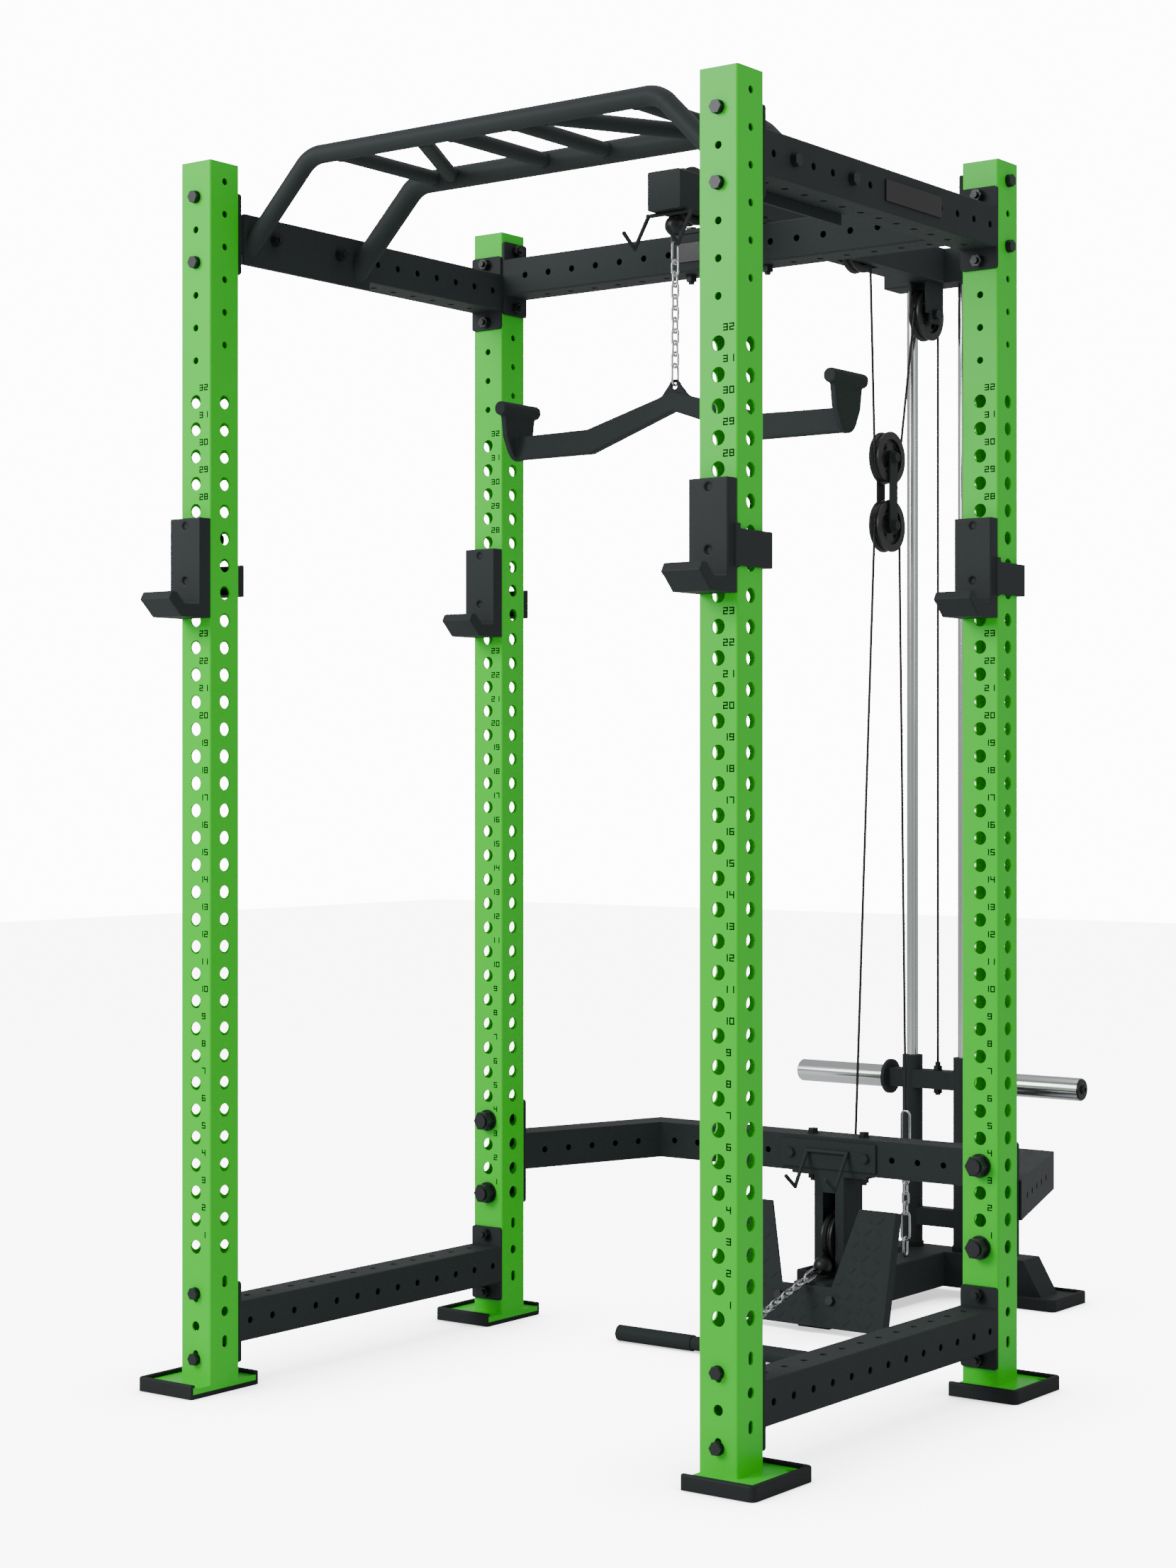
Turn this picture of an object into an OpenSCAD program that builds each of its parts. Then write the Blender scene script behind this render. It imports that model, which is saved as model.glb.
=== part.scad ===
// Power cage with a plate-loaded lat pull-down and low-row tower.
// X runs across the cage, +Y points to the rear, +Z is up and the floor is Z = 0.

/* [Uprights] */
// Side of the square steel tube
tube = 75; // [70:1:80]
// Wall of the square tube
wall = 3; // [2:0.5:4]
// Outer corner radius of the square tube
corner = 4; // [3.5:0.5:6]
// Clear width between the left and right uprights
clear_width = 1080; // [1000:10:1200]
// Clear depth between the front and rear uprights
clear_depth = 780; // [720:60:900]
// Height of the uprights above the floor
upright_height = 2258; // [2250:1:2300]
// Diameter of the numbered holes
hole_d = 25; // [22:0.5:26]
// Spacing of the numbered holes
hole_pitch = 50; // [50:1:50]
// Height of the lowest numbered hole
hole_first = 268; // [260:1:275]
// How many numbered holes each face has
hole_count = 32; // [28:1:32]

/* [Feet] */
// Thickness of the rubber under each foot plate
rubber_floor = 9; // [6:1:12]
// Thickness of the green foot plate
foot_plate = 10; // [8:1:12]
// How far the foot plate reaches outward past the upright
foot_reach = 57.5; // [40:0.5:70]
// How far the foot plate reaches past the upright's front and back
foot_side = 44.5; // [30:0.5:50]
// Wall of the rubber tray
tray_wall = 6; // [4:0.5:8]
// Height of the rubber lip
tray_lip = 22; // [20:1:26]

/* [Beams] */
// Centre height of the lower side beams
low_beam_z = 123; // [115:1:130]
// Centre height of the upper side beams
top_beam_z = 2133; // [2130:1:2140]
// How much higher the rear top beam sits
rear_beam_rise = 30; // [30:1:30]
// Height of a beam's end flange
flange_h = 150; // [140:1:160]
// Thickness of an end flange
flange_t = 6; // [5:0.5:8]
// Spacing of the small holes along a beam
beam_pitch = 60; // [60:1:60]
// Diameter of the small holes
small_hole = 13; // [12.5:0.5:14]
// Diameter of the frame bolts
bolt_d = 12; // [10:0.5:12]

/* [Rear stabiliser] */
// Centre height of the rear stabiliser
stab_z = 348.5; // [345:0.5:350]
// Distance of its rear beam's front face from the cage centre
stab_y = 797.5; // [780:0.5:820]
// Inner half width where an arm meets the rear beam
stab_half = 425.7; // [420:0.1:430]
// Diameter of the large bolts
big_bolt_d = 24; // [22:0.5:24]

/* [Pull-up bar] */
// Height of the pull-up tubes' centre
bar_z = 2262; // [2250:1:2270]
// Diameter of the front tube
bar_front_d = 34; // [28:1:36]
// Diameter of the rear tube
bar_rear_d = 42; // [36:1:44]
// Diameter of the cross grips
grip_d = 28; // [25:1:32]
// Half width of the level stretch, up to the bend's corner
bar_half = 389; // [380:1:400]
// Radius of the bends
bar_bend = 60; // [50:1:70]
// Wall of the pull-up tubes
pipe_wall = 3; // [2:0.5:4]

/* [Tower] */
// Distance of the guide rods behind the cage centre
rod_y = 1250; // [1240:1:1260]
// Half spacing of the guide rods
rod_x = 64; // [60:1:70]
// Diameter of the guide rods
rod_d = 25; // [22:1:28]
// Height of the underside of the lat arm
arm_z = 2209; // [2209:1:2215]
// Distance of the lat arm's front end from the cage centre
arm_front = 204; // [190:1:210]
// Height of the underside of the base beams
base_z = 21; // [20:1:24]
// Length of a weight horn
horn_len = 224; // [180:1:260]
// Diameter of a weight horn
horn_d = 49; // [45:0.5:50]
// Running clearance of sleeves and pulleys
run_fit = 0.05; // [0.02:0.01:0.1]

/* [Pulleys and cable] */
// Diameter of the cable
cable_d = 5.5; // [5:0.5:6]
// Radius at which the cable's centre runs on a pulley
pulley_r = 51; // [48:1:52]
// Outer radius of a pulley
pulley_rim = 56; // [54:1:57]
// Width of a pulley
pulley_w = 24; // [20:1:26]
// Diameter of the pulley axles
axle_d = 12; // [10:0.5:12]

/* [Handles] */
// Diameter of the stop balls
ball_d = 40; // [36:1:42]
// Wire diameter of the chains
wire = 5; // [4:0.5:5.5]
// Pitch of a chain link
link_pitch = 22; // [21:0.5:23]
// Half length of the low-row bar
row_half = 242; // [230:1:250]
// Height of the J-cup pin
cup_pin_z = 1568; // [1418:50:1568]

/* [Hidden] */
$fn = 48;
half = tube / 2;
post_x = clear_width / 2 + half;
post_y = clear_depth / 2 + half;
outer_x = post_x + half;
inner_x = post_x - half;
// Foot plates and rubber trays
plate_top = rubber_floor + foot_plate;
// Heights of the beam bolts
bolt_rise = beam_pitch;
rear_beam_z = top_beam_z + rear_beam_rise;
// Front-facing plate edges of the J-cups, from the upright's face
cup_lip = 105;
cup_plate = 14;
cup_drop = 148;
// Pulley centres as [y, z]
arm_front_c = [arm_front + 89, arm_z + 39];
arm_rear_c = [911, arm_z + 37];
tower_c = [rod_y - pulley_r, 2139];
block_up_c = [1032, 1812];
block_low_c = [1032, 1667];
low_c = [stab_y + half + 5, 173];
lat_y = arm_front_c.x - pulley_r;
ball_top = 2204;
ball_z = ball_top - ball_d / 2;
row_z = low_c.y - pulley_r;
row_ball_y = 774;
anchor_c = [1110, 413];
eye_top = 505;
// Base frame
base_mid = base_z + half;
base_top = base_z + tube;
base_front = 697;
tread_tilt = 12.5;
tread_low = 12;
tread_len = 245;
foot_half = 254;
foot_half_w = 69;
foot_half_d = 77;
front_reach = post_y + half + cup_lip;
rear_reach = rod_y + foot_half_d;
origin_y = (rear_reach - front_reach) / 2;
lat_links = 9;
row_links = 12;
anchor_links = 7;
row_bar_y = 394;
row_bar_r = 16;

function line_angle(c1, s1, c2, s2) =
    atan2(c2.y - c1.y, c2.x - c1.x) - asin((s1 - s2) * pulley_r / norm(c2 - c1));
function side_of(c, s, a) = c + s * pulley_r * [-sin(a), cos(a)];

// Moves the cage so that its origin is at the centre of its floor area
module placed() {
    translate([0, -origin_y, 0]) children();
}
module side_plane() {
    rotate([90, 0, 90]) children();
}
module front_plane() {
    rotate([90, 0, 0]) children();
}
module both_sides() {
    children();
    mirror([1, 0, 0]) children();
}
module round_rect(w, h, r) {
    square([w - 2 * r, h], center = true);
    square([w, h - 2 * r], center = true);
    for (sx = [-1, 1], sy = [-1, 1]) {
        translate([sx * (w / 2 - r), sy * (h / 2 - r)]) circle(r);
    }
}
module box_tube(len) {
    linear_extrude(len) difference() {
        round_rect(tube, tube, corner);
        square(tube - 2 * wall, center = true);
    }
}
module slot(len, d, t) {
    for (s = [-1, 1]) {
        translate([0, s * (len - d) / 2, 0]) cylinder(d = d, h = t, center = true);
    }
    cube([d, len - d, t], center = true);
}
module ring(outer, inner, t) {
    difference() {
        cylinder(d = outer, h = t);
        translate([0, 0, -1]) cylinder(d = inner, h = t + 2);
    }
}

// ---- Uprights -------------------------------------------------------------
module upright_drilling() {
    for (k = [0 : hole_count - 1]) {
        z = hole_first + k * hole_pitch;
        translate([0, 0, z]) rotate([90, 0, 0]) cylinder(d = hole_d, h = tube + 2, center = true);
        translate([0, 0, z]) rotate([0, 90, 0]) cylinder(d = hole_d, h = tube + 2, center = true);
    }
    for (k = [0 : 5]) {
        front_z = top_beam_z + bolt_rise * (k - 4);
        side_z = rear_beam_z + bolt_rise * (k - 4);
        translate([0, 0, front_z]) rotate([90, 0, 0]) cylinder(d = small_hole, h = tube + 2, center = true);
        translate([0, 0, side_z]) rotate([0, 90, 0]) cylinder(d = small_hole, h = tube + 2, center = true);
    }
    for (s = [-1, 1]) {
        translate([0, 0, low_beam_z + s * 55]) rotate([90, 0, 0]) slot(22, small_hole, tube + 2);
        translate([0, 0, low_beam_z + 26 + s * 55]) rotate([90, 0, 90]) slot(22, small_hole, tube + 2);
    }
    translate([0, 0, low_beam_z]) rotate([90, 0, 0]) cylinder(d = 18, h = tube + 2, center = true);
    translate([0, 0, low_beam_z + 26]) rotate([0, 90, 0]) cylinder(d = 18, h = tube + 2, center = true);
}
module upright(side_y) {
    color("limegreen") placed() translate([post_x, side_y * post_y, 0]) {
        difference() {
            translate([0, 0, plate_top - 1]) linear_extrude(upright_height - plate_top + 1)
                round_rect(tube, tube, corner);
            translate([-half + wall, -half + wall, plate_top])
                cube([tube - 2 * wall, tube - 2 * wall, upright_height - plate_top - wall]);
            upright_drilling();
        }
        difference() {
            translate([-half, -half - foot_side, rubber_floor])
                cube([tube + foot_reach, tube + 2 * foot_side, foot_plate]);
            for (s = [-1, 1]) {
                translate([half + foot_reach - 22, s * 60, 0]) cylinder(d = 14, h = plate_top + 1);
            }
        }
    }
}
module rubber_tray(len, depth) {
    difference() {
        translate([0, -depth / 2 - tray_wall, 0]) cube([len + tray_wall, depth + 2 * tray_wall, tray_lip]);
        translate([-1, -depth / 2, rubber_floor]) cube([len + 1, depth, tray_lip]);
    }
}
module upright_rubber_feet() {
    color("dimgray") placed() both_sides() for (sy = [-1, 1]) {
        translate([inner_x, sy * post_y, 0]) rubber_tray(tube + foot_reach, tube + 2 * foot_side);
    }
}

// ---- Beams ----------------------------------------------------------------
// A beam along Y between two end flanges, centred on the origin
module flanged_beam(clear_len) {
    run = clear_len - 2 * flange_t;
    count = floor((run / 2 - 20) / beam_pitch);
    difference() {
        rotate([90, 0, 0]) translate([0, 0, -run / 2]) box_tube(run);
        for (k = [-count : count]) {
            translate([0, k * beam_pitch, 0]) rotate([0, 90, 0])
                cylinder(d = small_hole, h = tube + 2, center = true);
        }
        for (k = [-count : count - 1]) {
            translate([0, (k + 0.5) * beam_pitch, 0]) cylinder(d = small_hole, h = tube + 2, center = true);
        }
    }
    for (s = [-1, 1]) {
        translate([0, s * (clear_len / 2 - flange_t / 2), 0]) difference() {
            rotate([90, 0, 0]) linear_extrude(flange_t, center = true) round_rect(tube, flange_h, 6);
            for (e = [-1, 1]) {
                translate([0, 0, e * bolt_rise]) rotate([90, 0, 0])
                    cylinder(d = small_hole, h = flange_t + 2, center = true);
            }
        }
    }
}
module side_beam(z) {
    color("#2d3135") placed() translate([post_x, 0, z]) flanged_beam(clear_depth);
}
module rear_top_beam() {
    color("#2d3135") placed() translate([0, post_y, rear_beam_z]) rotate([0, 0, 90]) difference() {
        flanged_beam(clear_width);
        for (s = [-1, 1]) {
            translate([0, s * 1.5 * beam_pitch, 0]) cylinder(d = small_hole, h = tube + 2, center = true);
        }
    }
}
module hex(across, t) {
    cylinder(d = across / cos(30), h = t, $fn = 6);
}
// A bolt whose head sits on Z = 0 and whose shank points down
module bolt(shank, d, across, head_h) {
    cylinder(d = across * 1.16, h = 2.5);
    translate([0, 0, 2.5]) hex(across, head_h);
    translate([0, 0, -shank]) cylinder(d = d, h = shank + 1);
}
module nut(d, across, h) {
    difference() {
        union() {
            cylinder(d = across * 1.16, h = 2.5);
            translate([0, 0, 2.5]) hex(across, h);
        }
        translate([0, 0, -1]) cylinder(d = d + 2 * run_fit, h = h + 5);
    }
}
head_w = 20;
head_h = 8;
grip_beam = tube + flange_t;
module frame_bolt_places() {
    both_sides() for (sy = [-1, 1], zc = [low_beam_z, top_beam_z], e = [-1, 1]) {
        translate([post_x, sy * (post_y + half), zc + e * bolt_rise]) rotate([-90 * sy, 0, 0]) children();
    }
    both_sides() for (e = [-1, 1]) {
        translate([outer_x, post_y, rear_beam_z + e * bolt_rise]) rotate([0, 90, 0]) children();
    }
}
module frame_bolts() {
    color("#26292b") placed() frame_bolt_places() bolt(grip_beam + 18, bolt_d, head_w, head_h);
}
module frame_nuts() {
    color("#26292b") placed() frame_bolt_places() translate([0, 0, -grip_beam]) rotate([180, 0, 0])
        nut(bolt_d, head_w, 10);
}
module blank_badge(w, h) {
    linear_extrude(3) round_rect(w, h, 3);
}
module blank_badge_plates() {
    color("#1d1f21") placed() {
        both_sides() translate([outer_x, 83, top_beam_z]) side_plane() blank_badge(190, 37);
        translate([0, post_y - half, rear_beam_z]) front_plane() blank_badge(190, 37);
    }
}

// ---- Rear stabiliser ------------------------------------------------------
stab_plate_y = post_y + half;
stab_plate_t = 6;
stab_arm_y = stab_plate_y + stab_plate_t;
stab_tan = (inner_x - stab_half) / (stab_y - stab_arm_y);
stab_angle = atan(stab_tan);
function arm_in(y, w) = stab_half + (stab_y - y) * stab_tan + w / cos(stab_angle);
module stab_outline(w) {
    back = stab_y + tube - w;
    front = stab_y + w;
    polygon([[arm_in(stab_arm_y, tube - w), stab_arm_y], [arm_in(back, tube - w), back],
        [-arm_in(back, tube - w), back], [-arm_in(stab_arm_y, tube - w), stab_arm_y],
        [-arm_in(stab_arm_y, w), stab_arm_y], [-arm_in(front, w), front],
        [arm_in(front, w), front], [arm_in(stab_arm_y, w), stab_arm_y]]);
}
big_holes = [hole_first, hole_first + 3 * hole_pitch];
module rear_stabiliser() {
    color("#2d3135") placed() {
        difference() {
            translate([0, 0, stab_z - half]) linear_extrude(tube) stab_outline(0);
            translate([0, 0, stab_z - half + wall]) linear_extrude(tube - 2 * wall) stab_outline(wall);
            for (k = [-6.5 : 6.5]) {
                translate([k * beam_pitch, stab_y + half, stab_z]) rotate([90, 0, 0])
                    cylinder(d = small_hole, h = tube + 2, center = true);
            }
            both_sides() for (k = [1 : 5]) {
                translate([arm_in(stab_arm_y, half), stab_arm_y, stab_z]) rotate([0, 0, stab_angle])
                    translate([0, k * beam_pitch, 0]) rotate([0, 90, 0])
                    cylinder(d = small_hole, h = tube + 2, center = true);
            }
            both_sides() translate([62, stab_y + half, stab_z])
                cylinder(d = small_hole, h = tube + 2, center = true);
        }
        both_sides() difference() {
            translate([post_x, stab_plate_y + stab_plate_t / 2, stab_z + 0.5]) rotate([90, 0, 0])
                linear_extrude(stab_plate_t, center = true) round_rect(tube, 216, 8);
            for (z = big_holes) {
                translate([post_x, stab_plate_y, z]) rotate([90, 0, 0])
                    cylinder(d = hole_d, h = 40, center = true);
            }
        }
    }
}
module stabiliser_bolts() {
    color("#26292b") placed() both_sides() for (z = big_holes) {
        translate([post_x, post_y - half, z]) rotate([90, 0, 0]) {
            cylinder(d = 44, h = 4);
            translate([0, 0, 4]) hex(35, 18);
            translate([0, 0, 22]) cylinder(d = 27, h = 5);
            translate([0, 0, -tube - stab_plate_t - 18]) cylinder(d = big_bolt_d, h = tube + stab_plate_t + 19);
        }
    }
}

// ---- Pull-up bar ----------------------------------------------------------
bar_plate_t = 6;
plate_drop = 18;
bar_front_y = -360;
bar_rear_y = -60;
bar_bolt_y = [-300, -120];
bend_cut = bar_bend * tan(22.5);
bend_x = bar_half - bend_cut;
leg_x = bend_x + bar_bend * sin(45);
leg_z = bar_z - bar_bend * (1 - cos(45));
leg_len = (inner_x - leg_x) / cos(45) + 40;
vent_z = leg_z - (inner_x - bar_plate_t - leg_x);
module bent_pipe(y, d, lap) {
    translate([0, y, bar_z]) rotate([0, 90, 0]) cylinder(d = d, h = 2 * bend_x, center = true);
    both_sides() {
        translate([bend_x, y, bar_z - bar_bend]) rotate([90, 0, 0]) rotate([0, 0, 44])
            rotate_extrude(angle = 47) translate([bar_bend, 0]) circle(d = d + lap);
        translate([leg_x, y, leg_z]) rotate([0, 135, 0]) cylinder(d = d, h = leg_len);
    }
}
module cross_grips(d) {
    both_sides() {
        for (x = [70, 330]) {
            translate([x, bar_front_y, bar_z]) rotate([-90, 0, 0]) cylinder(d = d, h = bar_rear_y - bar_front_y);
        }
        run = [170, bar_rear_y - bar_front_y];
        translate([130, bar_front_y, bar_z]) rotate([-90, 0, -atan(run.x / run.y)]) cylinder(d = d, h = norm(run));
    }
}
module pull_up_bar() {
    plate_in = inner_x - bar_plate_t;
    low = top_beam_z - half - plate_drop;
    color("#2d3135") placed() {
        difference() {
            union() {
                bent_pipe(bar_front_y, bar_front_d, 0.4);
                bent_pipe(bar_rear_y, bar_rear_d, 0.4);
                cross_grips(grip_d);
            }
            bent_pipe(bar_front_y, bar_front_d - 2 * pipe_wall, -0.4);
            bent_pipe(bar_rear_y, bar_rear_d - 2 * pipe_wall, -0.4);
            cross_grips(grip_d - 2 * pipe_wall);
            both_sides() translate([plate_in + 2, -500, low - 200]) cube([300, 600, 800]);
        }
        both_sides() difference() {
            translate([plate_in, bar_front_y - 22, low]) cube([bar_plate_t, bar_rear_y - bar_front_y + 50, tube + plate_drop]);
            for (y = bar_bolt_y) {
                translate([inner_x, y, top_beam_z]) rotate([0, 90, 0]) cylinder(d = small_hole, h = 30, center = true);
            }
            for (y = [bar_front_y, bar_rear_y]) {
                translate([inner_x, y, vent_z]) rotate([0, 90, 0]) cylinder(d = 8, h = 30, center = true);
            }
        }
    }
}
module pull_up_bolts() {
    color("#26292b") placed() both_sides() for (y = bar_bolt_y) {
        translate([outer_x, y, top_beam_z]) rotate([0, 90, 0]) {
            bolt(tube + bar_plate_t + 18, bolt_d, head_w, head_h);
            translate([0, 0, -tube - bar_plate_t]) rotate([180, 0, 0]) nut(bolt_d - 2 * run_fit - 1, head_w, 10);
        }
    }
}

// ---- Pulleys and cable ----------------------------------------------------
module pulley(c) {
    color("#1b1c1e") placed() translate([0, c.x, c.y]) rotate([0, 90, 0]) difference() {
        rotate_extrude() {
            difference() {
                polygon([[40, -pulley_w / 2], [pulley_rim, -pulley_w / 2], [pulley_rim, pulley_w / 2],
                    [40, pulley_w / 2]]);
                translate([pulley_r, 0]) circle(d = cable_d + 0.6);
                translate([pulley_r, -cable_d / 2 - 0.3]) square([pulley_r, cable_d + 0.6]);
                polygon([[pulley_r + 1, cable_d / 2], [pulley_rim + 1, 10], [pulley_rim + 1, -10],
                    [pulley_r + 1, -cable_d / 2]]);
            }
            translate([10, -6]) square([31, 12]);
            translate([axle_d / 2 + run_fit, -pulley_w / 2]) square([10, pulley_w]);
        }
        for (a = [45 : 90 : 315]) {
            rotate([0, 0, a]) translate([28, 0, 0]) slot(22, 12, 20);
        }
    }
}
module cable_line(p, q) {
    d = q - p;
    translate([0, p.x, p.y]) rotate([-atan2(d.x, d.y), 0, 0]) cylinder(d = cable_d, h = norm(d), $fn = 16);
}
module cable_arc(c, from, to) {
    trim = sign(to - from) * 0.05;
    translate([0, c.x, c.y]) side_plane() rotate([0, 0, from + trim]) rotate_extrude(angle = to - from - 2 * trim)
        translate([pulley_r, 0]) circle(d = cable_d, $fn = 16);
}
// Directions of the straight runs in the YZ plane
over_a = line_angle(arm_front_c, 1, arm_rear_c, 1);
down_a = line_angle(arm_rear_c, 1, block_up_c, -1);
up_a = line_angle(block_up_c, -1, tower_c, 1);
rise_a = line_angle(low_c, -1, block_low_c, 1);
fall_a = atan2(anchor_c.y - block_low_c.y, anchor_c.x - block_low_c.x)
    - asin(pulley_r / norm(anchor_c - block_low_c));
module cable_over_arm() {
    color("black") placed() {
        cable_arc(arm_front_c, 180, 90 + over_a);
        cable_line(side_of(arm_front_c, 1, over_a), side_of(arm_rear_c, 1, over_a));
        cable_arc(arm_rear_c, 90 + over_a, 90 + down_a);
    }
}
module cable_lat_drop() {
    color("black") placed() cable_line([lat_y, ball_top], [lat_y, arm_front_c.y]);
}
module cable_block_run() {
    color("black") placed() {
        cable_line(side_of(arm_rear_c, 1, down_a), side_of(block_up_c, -1, down_a));
        cable_arc(block_up_c, down_a - 90, up_a - 90);
        cable_line(side_of(block_up_c, -1, up_a), side_of(tower_c, 1, up_a));
    }
}
module cable_over_tower() {
    color("black") placed() cable_arc(tower_c, up_a + 90, 0);
}
module cable_to_carriage() {
    color("black") placed() cable_line([rod_y, eye_top], [rod_y, tower_c.y]);
}
module cable_low_loop() {
    color("black") placed() {
        cable_line(side_of(low_c, -1, rise_a), side_of(block_low_c, 1, rise_a));
        cable_arc(block_low_c, rise_a + 90, fall_a + 90);
        cable_line(side_of(block_low_c, 1, fall_a), anchor_c);
    }
}
module cable_under_pulley() {
    color("black") placed() cable_arc(low_c, -90, rise_a - 90);
}
module cable_row_run() {
    color("black") placed() cable_line([row_ball_y + ball_d / 2, row_z], [low_c.x, row_z]);
}
module axle(c, half_w, d) {
    translate([-half_w, c.x, c.y]) rotate([0, 90, 0]) cylinder(d = d, h = 2 * half_w);
    both_sides() translate([half_w, c.x, c.y]) rotate([0, 90, 0]) cylinder(d = 24, h = 2.5);
    both_sides() translate([half_w + 2.5, c.x, c.y]) rotate([0, 90, 0]) hex(19, 7.5);
}
bracket_w = 34;
module pulley_axles() {
    color("#26292b") placed() {
        axle(arm_front_c, half, axle_d);
        axle(arm_rear_c, half, axle_d);
        axle(tower_c, bracket_w / 2 + 5, axle_d);
        axle(low_c, half, axle_d);
    }
}
block_gap = pulley_w / 2 + 1.5;
module floating_block() {
    color("#26292b") placed() {
        both_sides() translate([block_gap, 0, 0]) side_plane() linear_extrude(4) {
            translate([block_up_c.x - 15, block_low_c.y]) square([30, block_up_c.y - block_low_c.y]);
            translate(block_up_c) circle(15);
            translate(block_low_c) circle(15);
        }
        axle(block_up_c, block_gap + 4, axle_d);
        axle(block_low_c, block_gap + 4, axle_d);
    }
}

// ---- Lat arm and tower ----------------------------------------------------
arm_seat = rear_beam_z + half;
cross_half = 115;
module pulley_window(c) {
    translate([0, c.x, arm_z + half]) cube([pulley_w + 6, 2 * pulley_rim + 12, tube + 40], center = true);
}
module lat_arm() {
    color("#2d3135") placed() {
        difference() {
            translate([0, arm_front, arm_z + half]) rotate([-90, 0, 0]) linear_extrude(rod_y - half - arm_front + 1)
                round_rect(tube, tube, corner);
            translate([-half + wall, arm_front + wall, arm_z + wall])
                cube([tube - 2 * wall, rod_y - half - arm_front - wall, tube - 2 * wall]);
            pulley_window(arm_front_c);
            pulley_window(arm_rear_c);
            for (c = [arm_front_c, arm_rear_c]) {
                translate([0, c.x, c.y]) rotate([0, 90, 0]) cylinder(d = axle_d + 1, h = tube + 2, center = true);
            }
        }
        difference() {
            translate([0, rod_y, arm_z + half]) rotate([0, 90, 0]) linear_extrude(2 * cross_half, center = true)
                round_rect(tube, tube, corner);
            translate([0, rod_y, arm_z + half])
                cube([2 * cross_half - 2 * wall, tube - 2 * wall, tube - 2 * wall], center = true);
        }
        difference() {
            translate([-110, post_y - half, arm_seat]) cube([220, tube, arm_z - arm_seat]);
            both_sides() translate([1.5 * beam_pitch, post_y, arm_seat - 1]) cylinder(d = small_hole, h = 20);
        }
        both_sides() translate([bracket_w / 2, tower_c.x - 36, arm_z - 12]) cube([5, 72, 13]);
    }
}
module lat_arm_bolts() {
    drop = arm_z - rear_beam_z + half;
    color("#26292b") placed() both_sides() translate([1.5 * beam_pitch, post_y, arm_z]) {
        bolt(drop + 18, bolt_d, head_w, head_h);
        translate([0, 0, -drop]) rotate([180, 0, 0]) nut(bolt_d - 2 * run_fit - 1, head_w, 10);
    }
}
module tower_pulley_bracket() {
    color("#2d3135") placed() both_sides() translate([bracket_w / 2, 0, 0]) difference() {
        side_plane() linear_extrude(5) {
            translate([tower_c.x - 36, tower_c.y]) square([72, arm_z - 12 - tower_c.y]);
            translate([tower_c.x - 22, tower_c.y - 20]) square([44, 24]);
        }
        translate([-1, tower_c.x, tower_c.y]) rotate([0, 90, 0]) cylinder(d = axle_d + 1, h = 8);
    }
}
module guide_rods() {
    color("silver") placed() both_sides() translate([rod_x, rod_y, base_top])
        cylinder(d = rod_d, h = arm_z - base_top);
}
bumper_h = 10;
sleeve_d = 45;
sleeve_top = 518;
module rod_bumpers() {
    color("#1b1c1e") placed() both_sides() translate([rod_x, rod_y, base_top])
        ring(sleeve_d + 5, rod_d + 2 * run_fit, bumper_h);
}
car_bar = 40;
car_z = 466.5;
car_half = 116;
disc_t = 8;
module weight_carriage() {
    low = base_top + bumper_h;
    color("#26292b") placed() difference() {
        union() {
            both_sides() translate([rod_x, rod_y, low]) cylinder(d = sleeve_d, h = sleeve_top - low);
            translate([0, rod_y, car_z]) cube([2 * car_half, car_bar, car_bar], center = true);
            translate([0, rod_y, 164]) cube([2 * rod_x, 30, 38], center = true);
            both_sides() translate([car_half, rod_y, car_z]) rotate([0, 90, 0]) cylinder(d = 76, h = disc_t);
        }
        both_sides() translate([rod_x, rod_y, 0]) cylinder(r = rod_d / 2 + run_fit, h = sleeve_top + 1);
        translate([0, rod_y, car_z]) cylinder(d = 13, h = 60, center = true);
    }
}
module weight_horns() {
    color("silver") placed() both_sides() translate([car_half + disc_t, rod_y, car_z]) rotate([0, 90, 0])
        cylinder(d = horn_d, h = horn_len);
}
module carriage_eye_bolt() {
    color("#26292b") placed() translate([0, rod_y, car_z]) {
        translate([0, 0, -34]) cylinder(d = axle_d, h = 34 + eye_top - car_z);
        translate([0, 0, car_bar / 2]) hex(19, 10);
        translate([0, 0, -car_bar / 2 - 10]) hex(19, 10);
    }
}
module on_tread() {
    translate([0, base_front, tread_low]) rotate([90 - tread_tilt, 0, 0]) children();
}
tread_bolt_t = 55;
module base_frame() {
    color("#2d3135") placed() {
        difference() {
            translate([0, base_front - 10, base_mid]) rotate([-90, 0, 0])
                linear_extrude(rod_y - half - base_front + 11) round_rect(tube, tube, corner);
            translate([-half + wall, base_front + 40, base_z + wall])
                cube([tube - 2 * wall, rod_y - half - base_front - 41, tube - 2 * wall]);
            on_tread() translate([-100, -60, -6]) cube([200, 300, 80]);
            translate([-12, base_front + 10, base_top - 2]) cube([24, 24, 3]);
        }
        on_tread() difference() {
            translate([-78, 20, -6]) cube([156, 56, 6]);
            both_sides() translate([62, tread_bolt_t, -10]) cylinder(d = 11, h = 20);
        }
        difference() {
            translate([0, rod_y + half, 0]) front_plane() linear_extrude(tube)
                polygon([[-272, base_z], [272, base_z], [228.5, base_top], [-228.5, base_top]]);
            translate([0, rod_y + half - wall, 0]) front_plane() linear_extrude(tube - 2 * wall)
                polygon([[-262, base_z + wall], [262, base_z + wall], [226, base_top - wall], [-226, base_top - wall]]);
        }
        both_sides() translate([foot_half - foot_half_w + tray_wall, rod_y - foot_half_d + tray_wall, rubber_floor])
            cube([2 * (foot_half_w - tray_wall), 2 * (foot_half_d - tray_wall), base_z - rubber_floor]);
    }
}
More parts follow.
